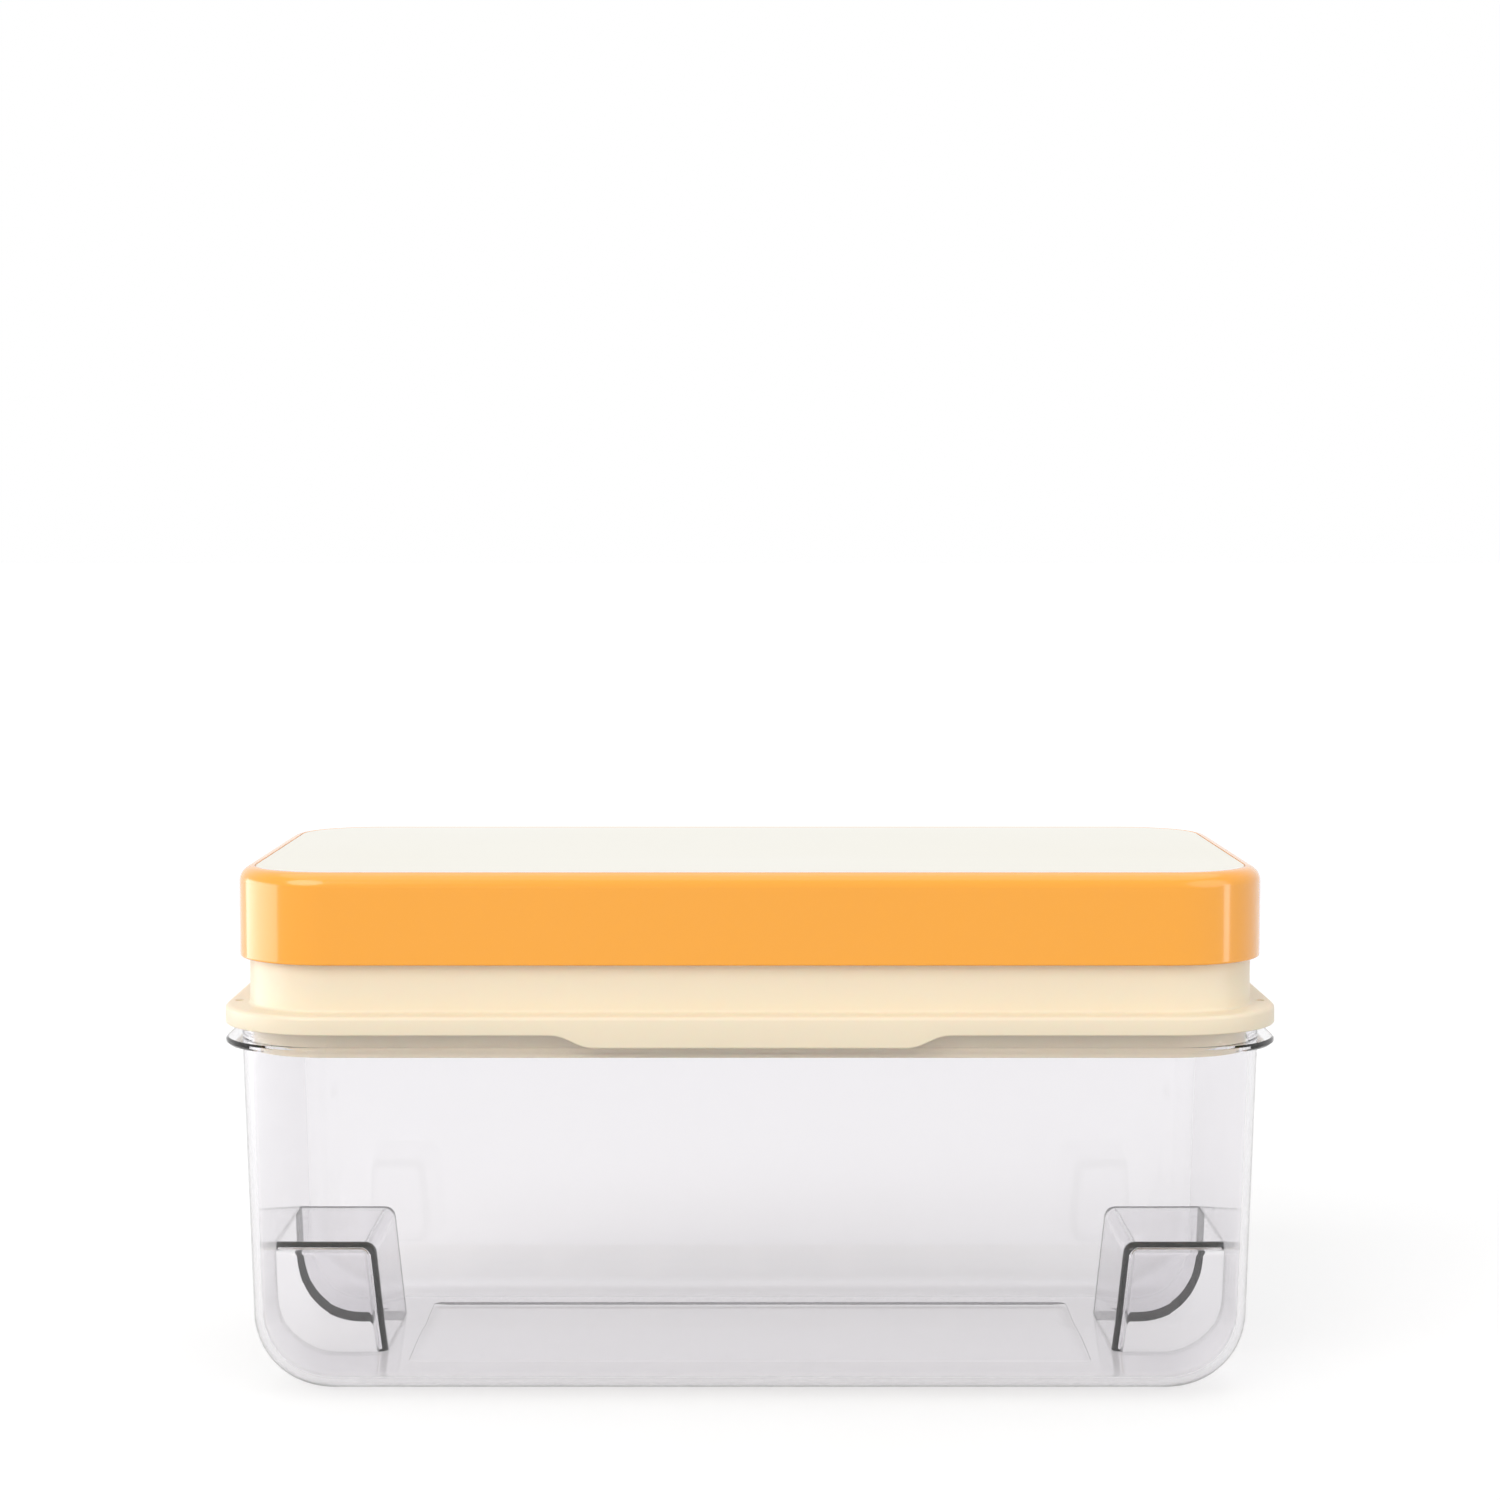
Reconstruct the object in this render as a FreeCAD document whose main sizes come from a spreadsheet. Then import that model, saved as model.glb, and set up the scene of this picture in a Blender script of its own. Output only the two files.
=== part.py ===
import FreeCAD, Part
import math
import os
import re
import Sketcher
from FreeCAD import Vector

# Press-to-release ice cube tray on its storage bin, in millimetres.
#
# The bin stands on z = 0 with its length along X. A grid of soft-backed cells hangs in its mouth,
# openings down. A frame sits on the grid and walls it in. A plate of pins rests on the soft backs,
# and the lid rests on the plate: pressing the lid pushes every cube out into the bin.

# Driving dimensions, each with a cell of the sheet: name and number.
DIMENSIONS = {
    # the cells, one cube each
    "columns": 8,
    "rows": 4,
    "cell_pitch": 29.6,
    "cell_bar": 5.0,
    "cell_corner_cut": 5.9,
    # the walled frame round the cells
    "margin_along": 3.6,
    "margin_across": 2.8,
    "wall_corner": 21.0,
    "wall_thickness": 2.0,
    "wall_rise": 21.6,
    "ledge_reach": 6.0,
    "ledge_thickness": 1.6,
    "ledge_edge_bevel": 1.0,
    "skirt_thickness": 1.8,
    "skirt_drop": 3.0,
    "flap_drop": 6.0,
    "flap_flat": 75.0,
    "flap_slope": 9.5,
    "ear_hole": 2.2,
    "ear_hole_inset_along": 3.0,
    "ear_hole_inset_across": 28.0,
    # the grid that carries the cells
    "grid_depth": 8.0,
    "grid_flange": 1.2,
    "grid_rise": 11.2,
    "grid_clearance": 0.3,
    "plug_clearance": 0.8,
    # the soft back of each cell: a dome on the grid, and a liner down into the cell
    "dome_overlap": 0.5,
    "dome_height": 6.0,
    "dome_draft": 24.0,
    "dome_bevel": 1.8,
    "dome_skin": 3.0,
    "liner_clearance": 0.4,
    "liner_depth": 10.0,
    "liner_skin": 1.6,
    # the plate of pins
    "plate_gap": 2.0,
    "plate_thickness": 2.0,
    "plate_edge_bevel": 0.5,
    "pin_length": 14.0,
    "pin_width": 8.4,
    "pin_draft": 3.0,
    "pin_nose": 5.0,
    "pin_nose_inset": 2.2,
    # the lid
    "lid_clearance": 0.5,
    "lid_wall": 1.8,
    "lid_top": 2.0,
    "lid_skirt": 20.0,
    "lid_edge_round": 3.6,
    "panel_inset": 3.8,
    "panel_thickness": 1.0,
    # the bin
    "bin_height": 92.0,
    "bin_wall": 2.0,
    "bin_floor": 2.2,
    "bin_draft": 1.8,
    "bin_foot_round": 18.6,
    "rim_band": 6.8,
    "bead_thickness": 1.6,
    "bead_reach_along": 4.0,
    "bead_reach_across": 0.8,
    "floor_panel_gap_along": 41.0,
    "floor_panel_gap_across": 32.0,
    "floor_panel_corner": 2.4,
    "floor_panel_step": 0.6,
    # the hand grips, pressed into both ends of the bin
    "grip_width": 44.0,
    "grip_height": 29.0,
    "grip_depth": 31.0,
    "grip_lean": 6.0,
    "grip_bevel": 1.5,
}

# Shared sizes, as formulas of the names above. The cells set the plan: the wall stands round their
# field at a margin. A reach is how far a plan outline lies outside the centres of its four rounded
# corners, which all the pieces have in common.
CELL_WIDTH = "(cell_pitch - cell_bar)"
CORE_LENGTH = "(columns * cell_pitch + 2 * margin_along - 2 * wall_corner)"
CORE_WIDTH = "(rows * cell_pitch + 2 * margin_across - 2 * wall_corner)"
WALL_INSIDE = "(wall_corner - wall_thickness)"
LEDGE_OUTSIDE = "(wall_corner + ledge_reach)"
LID_OUTSIDE = "(wall_corner + lid_clearance + lid_wall)"
BIN_OUTSIDE = "(wall_corner + bin_wall)"
BIN_END = f"({CORE_LENGTH} / 2 + {BIN_OUTSIDE})"
BIN_FLANK = f"({CORE_WIDTH} / 2 + {BIN_OUTSIDE})"

# Heights above the table.
BAND_FOOT = "(bin_height - rim_band)"
FRAME_SEAT = "(bin_height + grid_flange)"
DECK = f"({FRAME_SEAT} + grid_rise)"
PLATE_SEAT = f"({DECK} + dome_height + pin_length)"
LID_SEAT = f"({PLATE_SEAT} + plate_thickness)"

CELL_LETTERS = "abcdefghijklmnopqrstuvwxyz"

# How many flat sides stand for a round: of a pin or a small hole, of the bin's foot, of the lid's edge.
POLYGON_SIDES = 8
FOOT_SIDES = 4
LID_SIDES = 3

document = FreeCAD.newDocument("press_ice_tray")
sizes = document.addObject("Spreadsheet::Sheet", "Sizes")
for line, (alias, number) in enumerate(DIMENSIONS.items(), start=1):
    sizes.set(f"A{line}", alias)
    sizes.set(f"B{line}", str(number))
    sizes.setAlias(f"B{line}", alias)
document.recompute()


def bound(formula):
    """The formula as the document reads it, with each size's name pointed at its cell."""
    return re.sub(
        r"[a-z_]+", lambda word: f"Sizes.{word[0]}" if word[0] in DIMENSIONS else word[0], formula
    )


def value(formula):
    """The number that a formula comes to."""
    return float(sizes.evalExpression(bound(formula)))


def new_body(name):
    body = document.addObject("PartDesign::Body", name)
    body.Label = name
    return body


def own(body, role):
    """One of the body's own planes or axes."""
    return next(item for item in body.Origin.OriginFeatures if item.Role == role)


def placed(piece, height, along="0", across="0"):
    """Puts a piece at a height above the table, and along X and across Y."""
    for axis, formula in (("x", along), ("y", across), ("z", height)):
        piece.setExpression(f".Placement.Base.{axis}", bound(formula))
    return piece


def new_sketch(body, name, plane="XY_Plane", offset="0"):
    """A sketch on one of the body's own planes, moved along that plane's normal."""
    sketch = body.newObject("Sketcher::SketchObject", name)
    sketch.AttachmentSupport = [(own(body, plane), "")]
    sketch.MapMode = "FlatFace"
    sketch.setExpression(".AttachmentOffset.Base.z", bound(offset))
    return sketch


def to_first_cell(sketch):
    """Moves a level sketch to the first cell, at low X and low Y."""
    for axis, cells in (("x", "columns"), ("y", "rows")):
        sketch.setExpression(f".AttachmentOffset.Base.{axis}", bound(f"(1 - {cells}) / 2 * cell_pitch"))


def dimension(sketch, kind, *where, formula):
    """A measured constraint whose value is a formula."""
    index = sketch.addConstraint(Sketcher.Constraint(kind, *where, value(formula)))
    sketch.setExpression(f"Constraints[{index}]", bound(formula))


def pin_point(sketch, shape, end, x, y):
    """Fixes one point of a shape at a pair of formulas."""
    dimension(sketch, "DistanceX", -1, 1, shape, end, formula=x)
    dimension(sketch, "DistanceY", -1, 1, shape, end, formula=y)


def rounded_rectangle(sketch, length, width, corner):
    """Adds a rounded rectangle about the sketch's origin."""
    x, y, r = value(length) / 2, value(width) / 2, value(corner)
    corners = [(x - r, r - y, 270), (x - r, y - r, 0), (r - x, y - r, 90), (r - x, r - y, 180)]
    arcs = []
    for centre_x, centre_y, start in corners:
        circle = Part.Circle(Vector(centre_x, centre_y, 0), Vector(0, 0, 1), r)
        arc = Part.ArcOfCircle(circle, math.radians(start), math.radians(start + 90))
        arcs.append(sketch.addGeometry(arc))
    sides = []
    for here, after in zip(arcs, arcs[1:] + arcs[:1]):
        ends = sketch.getPoint(here, 2), sketch.getPoint(after, 1)
        sides.append(sketch.addGeometry(Part.LineSegment(*ends)))
    for n, side in enumerate(sides):
        sketch.addConstraint(Sketcher.Constraint("Tangent", arcs[n], 2, side, 1))
        sketch.addConstraint(Sketcher.Constraint("Tangent", side, 2, arcs[(n + 1) % 4], 1))
        sketch.addConstraint(Sketcher.Constraint("Horizontal" if n % 2 else "Vertical", side))
    for arc in arcs[1:]:
        sketch.addConstraint(Sketcher.Constraint("Equal", arcs[0], arc))
    sketch.addConstraint(Sketcher.Constraint("Symmetric", arcs[0], 3, arcs[2], 3, -1, 1))
    dimension(sketch, "Radius", arcs[0], formula=corner)
    dimension(sketch, "DistanceX", sides[2], 1, sides[0], 1, formula=length)
    dimension(sketch, "DistanceY", sides[3], 1, sides[1], 1, formula=width)


def core_outline(sketch, reach):
    """Adds the plan outline with a given reach."""
    rounded_rectangle(sketch, f"{CORE_LENGTH} + 2 * {reach}", f"{CORE_WIDTH} + 2 * {reach}", reach)


def arc_between(start, end, radius, turn):
    """The short arc from start to end. turn is 1 where it bends left and -1 where it bends right."""
    chord = end - start
    left = Vector(-chord.y, chord.x, 0).normalize()
    back = math.sqrt(radius * radius - chord.Length * chord.Length / 4)
    centre = (start + end) / 2 + left * back * turn
    first, last = (start, end) if turn > 0 else (end, start)
    angles = [math.atan2(point.y - centre.y, point.x - centre.x) for point in (first, last)]
    return Part.ArcOfCircle(Part.Circle(centre, Vector(0, 0, 1), radius), *angles)


def outline(sketch, points, arcs=None):
    """Adds a closed outline through points, each a pair of formulas.

    arcs gives the sides that are arcs, by number: the radius as a formula, and the turn.
    """
    arcs = arcs or {}
    corners = [Vector(value(x), value(y), 0) for x, y in points]
    sides = []
    for n, (start, end) in enumerate(zip(corners, corners[1:] + corners[:1])):
        radius, turn = arcs.get(n, ("0", 1))
        curved = n in arcs
        curve = arc_between(start, end, value(radius), turn) if curved else Part.LineSegment(start, end)
        side = sketch.addGeometry(curve)
        sides.append((side, 1, 2) if turn > 0 else (side, 2, 1))
    for (side, first, last), (after, after_first, after_last) in zip(sides, sides[1:] + sides[:1]):
        sketch.addConstraint(Sketcher.Constraint("Coincident", side, last, after, after_first))
    for (side, first, last), (x, y) in zip(sides, points):
        pin_point(sketch, side, first, x, y)
    for n, (radius, turn) in arcs.items():
        dimension(sketch, "Radius", sides[n][0], formula=radius)


def extrude(body, kind, sketch, length, down=False, middle=False):
    """A Pad or a Pocket of a sketch, up its normal or down, or to both sides of it."""
    feature = body.newObject(f"PartDesign::{kind}", f"{sketch.Name}_{kind.lower()}")
    feature.Profile = sketch
    feature.setExpression("Length", bound(length))
    feature.Reversed = down if kind == "Pad" else not down
    if middle:
        feature.SideType = "Symmetric"
    document.recompute()
    return feature


def lean_in(body, pad, angle):
    """Drafts the upright sides of a pad from its foot, which is on the body's own XY plane."""
    feature = body.newObject("PartDesign::Draft", f"{pad.Name}_draft")
    sides = [f"Face{n}" for n, face in enumerate(pad.Shape.Faces, 1) if abs(face.normalAt(0, 0).z) < 0.5]
    feature.Base = (pad, sides)
    feature.NeutralPlane = (own(body, "XY_Plane"), [""])
    feature.PullDirection = (own(body, "Z_Axis"), [""])
    feature.setExpression("Angle", bound(angle))
    document.recompute()
    return feature


def bevel(body, name, size, chosen):
    """A Chamfer of the body's edges that the test picks by their bounding boxes."""
    base = body.Tip
    feature = body.newObject("PartDesign::Chamfer", name)
    edges = [f"Edge{n}" for n, edge in enumerate(base.Shape.Edges, 1) if chosen(edge.BoundBox)]
    feature.Base = (base, edges)
    feature.setExpression("Size", bound(size))
    document.recompute()
    return feature


def level_at(height, beyond="0"):
    """Picks level edges at a height that reach beyond a plan outline."""
    z, near = value(height), 1e-4
    x, y = value(f"{CORE_LENGTH} / 2 + {beyond}"), value(f"{CORE_WIDTH} / 2 + {beyond}")

    def chosen(box):
        level = abs(box.ZMin - z) < near and abs(box.ZMax - z) < near
        return level and (max(-box.XMin, box.XMax) > x + near or max(-box.YMin, box.YMax) > y + near)

    return chosen


def repeat_over_cells(body, feature, whole_shape=False):
    """Repeats the first cell's feature, or all that the body holds so far, at the pitch of the cells."""
    grid = body.newObject("PartDesign::LinearPattern", f"{feature.Name}_grid")
    if whole_shape:
        grid.TransformMode = "Whole shape"
    else:
        grid.Originals = [feature]
    grid.Direction, grid.Direction2 = (own(body, "X_Axis"), [""]), (own(body, "Y_Axis"), [""])
    for along, copies in (("", "columns"), ("2", "rows")):
        setattr(grid, f"Mode{along}", "Extent")
        grid.setExpression(f"Length{along}", bound(f"({copies} - 1) * cell_pitch"))
        grid.setExpression(f"Occurrences{along}", bound(copies))
    body.Tip = grid
    document.recompute()
    return grid


def solid_outline(body, name, reach, bottom, height, down=False):
    """A slab with the plan outline of a given reach."""
    sketch = new_sketch(body, name, offset=bottom)
    core_outline(sketch, reach)
    return extrude(body, "Pad", sketch, height, down=down)


def ring(body, name, outside, inside, bottom, height, down=False):
    """A wall between two plan outlines."""
    sketch = new_sketch(body, name, offset=bottom)
    core_outline(sketch, outside)
    core_outline(sketch, inside)
    return extrude(body, "Pad", sketch, height, down=down)


def cell_outline(sketch, width):
    """Adds a square with cut corners. All such outlines run parallel, whatever their width."""
    half, root = f"({width}) / 2", "sqrt(2)"
    corner_cut = f"(cell_corner_cut + (({width}) - {CELL_WIDTH}) * (1 - {root} / 2))"
    short = f"({half} - {corner_cut})"
    quarter = [(half, short), (short, half)]
    points = []
    for turns in range(4):
        points += quarter
        quarter = [(f"-({y})", x) for x, y in quarter]
    outline(sketch, points)


def polygon(sketch, width, x="0", y="0"):
    """Adds a regular polygon about a point, a given width across its sides."""
    radius = f"({width} / 2 / cos(180 / {POLYGON_SIDES}))"
    corners = [f"({360 * (n + 0.5) / POLYGON_SIDES:g})" for n in range(POLYGON_SIDES)]
    outline(sketch, [(f"{x} + {radius} * cos{turn}", f"{y} + {radius} * sin{turn}") for turn in corners])


def cut(name, base, tool):
    result = document.addObject("Part::Cut", name)
    result.Label, result.Base, result.Tool = name, base, tool
    document.recompute()
    return result


def lofted(body, name, sections):
    """Skins plan outlines, each a pair of a reach and a height, with straight rules between them."""
    sketches = []
    for number, (reach, height) in enumerate(sections):
        sketches.append(new_sketch(body, f"{name}_{number}", offset=height))
        core_outline(sketches[-1], reach)
    feature = body.newObject("PartDesign::AdditiveLoft", name)
    feature.Profile = sketches[0]
    feature.Sections = sketches[1:]
    feature.Ruled = True
    document.recompute()
    return feature


def rounded_end(reach, end, radius, sides, into):
    """The sections of a large round, from an upright side at a reach in to a level end at a height.

    into is the way from the end into the piece: "+" where the piece lies above it, "-" where below.
    """
    sections = []
    for side in range(sides + 1):
        turn = f"({90 * side / sides:g})"
        inset, rise = f"{radius} * (1 - cos{turn})", f"{radius} * (1 - sin{turn})"
        sections.append((f"({reach} - {inset})", f"({end} {into} {rise})"))
    return sections


def bin_form(name, reach, floor, foot_round):
    """The bin's outside or its hollow: an upright band at the rim over drafted sides."""
    body = new_body(name)
    solid_outline(body, f"{name}_band", reach, "bin_height", "rim_band", down=True)
    foot_reach = f"({reach} - ({BAND_FOOT} - {floor} - {foot_round}) * tan(bin_draft))"
    foot = rounded_end(foot_reach, floor, foot_round, FOOT_SIDES, into="+")
    lofted(body, f"{name}_sides", [(reach, BAND_FOOT)] + foot)
    return body


def grip_form(name, wall):
    """The hollow of the hand grips, or with a wall round it their housing, at both ends."""
    body = new_body(name)
    foot, ceiling, beyond = f"({BIN_END} - grip_depth - {wall})", f"(grip_height + {wall})", "bin_wall"
    face = f"({foot} + {ceiling} * tan(grip_lean))"
    sketch = new_sketch(body, f"{name}_profile", plane="XZ_Plane")
    outline(sketch, [
        (f"{foot} - {beyond} * tan(grip_lean)", f"-{beyond}"),
        (face, ceiling),
        (f"{BIN_END} + {beyond}", ceiling),
        (f"{BIN_END} + {beyond}", f"-{beyond}"),
    ])
    extrude(body, "Pad", sketch, f"grip_width + 2 * {wall}", middle=True)
    inner, bottom = value(face) + 1e-4, value(f"-{beyond}") + 1e-4
    bevel(body, f"{name}_bevel", f"grip_bevel + {wall} / 2",
          lambda box: box.ZMax > bottom and box.XMin < inner)
    mirror = body.newObject("PartDesign::Mirrored", f"{name}_both_ends")
    mirror.TransformMode = "Whole shape"
    mirror.MirrorPlane = (own(body, "YZ_Plane"), [""])
    body.Tip = mirror
    document.recompute()
    return body


def make_storage_bin():
    """The clear bin: drafted walls, a bead under the rim, and a hand grip pressed into each end."""
    outside = bin_form("bin_outside", BIN_OUTSIDE, "0", "bin_foot_round")
    bead = new_sketch(outside, "bead_outline", offset=BAND_FOOT)
    bead_length = f"2 * ({BIN_END} + bead_reach_along)"
    bead_width = f"2 * ({BIN_FLANK} + bead_reach_across)"
    rounded_rectangle(bead, bead_length, bead_width, f"{BIN_OUTSIDE} + bead_reach_across")
    extrude(outside, "Pad", bead, "bead_thickness")
    inside = bin_form("bin_inside", "wall_corner", "bin_floor", "(bin_foot_round - bin_wall)")
    panel = new_sketch(inside, "floor_panel_outline", offset="bin_floor")
    panel_length = f"2 * ({BIN_END} - floor_panel_gap_along)"
    panel_width = f"2 * ({BIN_FLANK} - floor_panel_gap_across)"
    rounded_rectangle(panel, panel_length, panel_width, "floor_panel_corner")
    extrude(inside, "Pad", panel, "floor_panel_step", down=True)
    hollow = cut("bin_hollow", inside, grip_form("grip_housing", "bin_wall"))
    shell = cut("bin_shell", outside, hollow)
    return placed(cut("storage_bin", shell, grip_form("grip_hollow", "0")), "0")


def make_cell_grid():
    """The rigid grid: a block of open cells that plugs the bin and hangs from its rim."""
    body = new_body("cell_grid")
    solid_outline(body, "plug_outline", "(wall_corner - plug_clearance)", "0", "grid_depth")
    solid_outline(body, "flange_outline", BIN_OUTSIDE, "grid_depth", "grid_flange")
    above_flange = "(grid_depth + grid_flange)"
    solid_outline(body, "block_outline", f"({WALL_INSIDE} - grid_clearance)", above_flange, "grid_rise")
    cell = new_sketch(body, "cell_outline")
    to_first_cell(cell)
    cell_outline(cell, CELL_WIDTH)
    repeat_over_cells(body, extrude(body, "Pocket", cell, f"{above_flange} + grid_rise"))
    return placed(body, "bin_height - grid_depth")


def make_tray_frame():
    """The frame: a wall on a ledge, and a skirt under the ledge with a deeper flap front and back."""
    body = new_body("tray_frame")
    skirt_inside = f"({LEDGE_OUTSIDE} - skirt_thickness)"
    ring(body, "ledge_outline", LEDGE_OUTSIDE, WALL_INSIDE, "0", "ledge_thickness")
    ring(body, "skirt_outline", LEDGE_OUTSIDE, skirt_inside, "0", "skirt_drop", down=True)
    outer_edges = level_at("ledge_thickness", beyond="wall_corner")
    bevel(body, "ledge_edge", "ledge_edge_bevel", outer_edges)
    top = "(ledge_thickness + wall_rise)"
    ring(body, "wall_outline", "wall_corner", WALL_INSIDE, "0", top)
    flap = new_sketch(body, "flap_profile", plane="XZ_Plane", offset=f"{CORE_WIDTH} / 2 + {skirt_inside}")
    draw_flap(flap)
    extrude(body, "Pad", flap, "skirt_thickness")
    mirror = body.newObject("PartDesign::Mirrored", "flap_front_and_back")
    mirror.Originals = [body.getObject("flap_profile_pad")]
    mirror.MirrorPlane = (own(body, "XZ_Plane"), [""])
    body.Tip = mirror
    holes = new_sketch(body, "ear_holes")
    hole_along = f"({CORE_LENGTH} / 2 + {LEDGE_OUTSIDE} - ear_hole_inset_along)"
    hole_across = f"({CORE_WIDTH} / 2 + {LEDGE_OUTSIDE} - ear_hole_inset_across)"
    for end in ("-1", "1"):
        for side in ("-1", "1"):
            polygon(holes, "ear_hole", f"{end} * {hole_along}", f"{side} * {hole_across}")
    extrude(body, "Pocket", holes, "ledge_thickness")
    return placed(body, FRAME_SEAT)


def draw_flap(sketch):
    """The flap's front view: its flat bottom eases up into the skirt by two arcs at each end."""
    inner, outer = "(flap_flat / 2)", "(flap_flat / 2 + flap_slope)"
    middle, half_deep = "(flap_flat + flap_slope) / 2", "(skirt_drop + flap_drop) / 2"
    drop = "(flap_drop - skirt_drop)"
    ease = f"(flap_slope * flap_slope + {drop} * {drop}) / (4 * {drop})"
    points = [
        (f"-{outer}", "0"),
        (f"-{outer}", "-skirt_drop"),
        (f"-{middle}", f"-{half_deep}"),
        (f"-{inner}", "-flap_drop"),
        (inner, "-flap_drop"),
        (middle, f"-{half_deep}"),
        (outer, "-skirt_drop"),
        (outer, "0"),
    ]
    outline(sketch, points, {1: (ease, -1), 2: (ease, 1), 4: (ease, 1), 5: (ease, -1)})


def make_cell_cups():
    """One soft back for each cell, all of one form: a domed cap on a liner."""
    form = new_body("cup_form")
    dome = new_sketch(form, "dome_outline")
    cell_outline(dome, f"{CELL_WIDTH} + 2 * dome_overlap")
    lean_in(form, extrude(form, "Pad", dome, "dome_height"), "dome_draft")
    top = value("dome_height")
    bevel(form, "dome_edge", "dome_bevel", lambda box: box.ZMin > top - 1e-4)
    liner = new_sketch(form, "liner_outline")
    liner_width = f"{CELL_WIDTH} - 2 * liner_clearance"
    cell_outline(liner, liner_width)
    extrude(form, "Pad", liner, "liner_depth", down=True)
    hollow = new_sketch(form, "hollow_outline", offset="-liner_depth")
    cell_outline(hollow, f"{liner_width} - 2 * liner_skin")
    extrude(form, "Pocket", hollow, "liner_depth + dome_height - dome_skin")
    cups = []
    for row in range(int(value("rows"))):
        for column in range(int(value("columns"))):
            cup = new_body(f"cell_cup_{CELL_LETTERS[column]}{row + 1}")
            clone = cup.newObject("PartDesign::FeatureBase", f"{cup.Name}_form")
            clone.BaseFeature = form
            cup.Tip = clone
            along, across = f"({column} - (columns - 1) / 2)", f"({row} - (rows - 1) / 2)"
            cups.append(placed(cup, DECK, f"{along} * cell_pitch", f"{across} * cell_pitch"))
    return cups


def make_push_plate():
    """The thin plate with a bullet-shaped pin for each cell."""
    body = new_body("push_plate")
    pin = new_sketch(body, "pin_foot")
    to_first_cell(pin)
    polygon(pin, "pin_width")
    lean_in(body, extrude(body, "Pad", pin, "pin_length", down=True), "pin_draft")
    tip = value("-pin_length")
    nose = bevel(body, "pin_nose", "pin_nose_inset", lambda box: box.ZMax < tip + 1e-4)
    nose.ChamferType = "Two distances"
    nose.FlipDirection = True
    nose.setExpression("Size2", bound("pin_nose"))
    repeat_over_cells(body, nose, whole_shape=True)
    solid_outline(body, "plate_outline", f"({WALL_INSIDE} - plate_gap)", "0", "plate_thickness")
    bevel(body, "plate_edge", "plate_edge_bevel", level_at("plate_thickness"))
    return placed(body, PLATE_SEAT)


def make_press_lid():
    """The lid: a cap over the frame's wall, with a recess in its top for the panel."""
    body = new_body("press_lid")
    top_edge = rounded_end(LID_OUTSIDE, "lid_top", "lid_edge_round", LID_SIDES, into="-")
    lofted(body, "lid_outside", [(LID_OUTSIDE, "-lid_skirt")] + top_edge)
    inside = new_sketch(body, "lid_inside", offset="-lid_skirt")
    core_outline(inside, "(wall_corner + lid_clearance)")
    extrude(body, "Pocket", inside, "lid_skirt")
    recess = new_sketch(body, "panel_recess", offset="lid_top")
    core_outline(recess, f"({LID_OUTSIDE} - panel_inset)")
    extrude(body, "Pocket", recess, "panel_thickness", down=True)
    return placed(body, LID_SEAT)


def make_lid_panel():
    """The pale panel moulded into the lid's top, flush with it."""
    body = new_body("lid_top_panel")
    solid_outline(body, "panel_outline", f"({LID_OUTSIDE} - panel_inset)", "0", "panel_thickness")
    return placed(body, f"{LID_SEAT} + lid_top - panel_thickness")


pieces = [make_storage_bin(), make_cell_grid(), make_tray_frame()] + make_cell_cups()
pieces += [make_push_plate(), make_press_lid(), make_lid_panel()]
document.recompute()

failed = [item.Label for item in document.Objects if {"Invalid", "Error"} & set(item.State)]
failed += [piece.Label for piece in pieces if piece.Shape.isNull() or not piece.Shape.isValid()]
if failed:
    raise RuntimeError("these objects failed: " + ", ".join(failed))

os.makedirs("parts", exist_ok=True)
for piece in pieces:
    piece.Shape.exportStep(f"parts/{piece.Label}.step")
    box = piece.Shape.BoundBox
    print(f"{piece.Label}: {len(piece.Shape.Solids)} solid, {piece.Shape.Volume:.0f} mm3, "
          f"z {box.ZMin:.2f} to {box.ZMax:.2f}")
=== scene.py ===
import math

import bmesh
import bpy
from mathutils import Matrix, Vector


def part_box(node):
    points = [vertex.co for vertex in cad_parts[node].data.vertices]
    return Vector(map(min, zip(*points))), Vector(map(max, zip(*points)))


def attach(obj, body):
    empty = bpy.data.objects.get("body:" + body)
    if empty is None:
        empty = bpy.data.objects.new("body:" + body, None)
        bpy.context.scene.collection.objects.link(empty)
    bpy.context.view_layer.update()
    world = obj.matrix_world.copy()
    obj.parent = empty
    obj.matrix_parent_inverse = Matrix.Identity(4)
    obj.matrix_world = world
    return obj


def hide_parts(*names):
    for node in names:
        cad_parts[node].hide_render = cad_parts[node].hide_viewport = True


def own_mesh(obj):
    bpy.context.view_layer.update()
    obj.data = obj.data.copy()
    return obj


# The press ice cube tray, dressed. Metres, +Z up, the bin on z = 0. All upright pieces share the
# centres of their four rounded corners, so a plan outline is given by its reach: how far it lies
# outside those centres. Heights and widths come from the boxes of the frame's nodes.

MM = 0.001
NEAR = 1e-6

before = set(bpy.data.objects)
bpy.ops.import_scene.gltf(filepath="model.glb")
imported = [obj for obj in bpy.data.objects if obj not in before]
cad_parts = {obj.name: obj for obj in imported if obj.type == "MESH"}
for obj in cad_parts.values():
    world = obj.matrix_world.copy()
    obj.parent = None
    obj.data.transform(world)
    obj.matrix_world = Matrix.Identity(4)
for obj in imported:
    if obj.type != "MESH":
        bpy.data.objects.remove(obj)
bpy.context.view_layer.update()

BIN_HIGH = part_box("storage_bin")[1]
FRAME_LOW, FRAME_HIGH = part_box("tray_frame")
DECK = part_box("cell_grid")[1].z
CUP_LOW, CUP_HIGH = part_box("cell_cup_a1")
PLATE_LOW, PLATE_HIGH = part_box("push_plate")
LID_LOW, LID_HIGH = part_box("press_lid")
PANEL_LOW, PANEL_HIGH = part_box("lid_top_panel")

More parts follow.
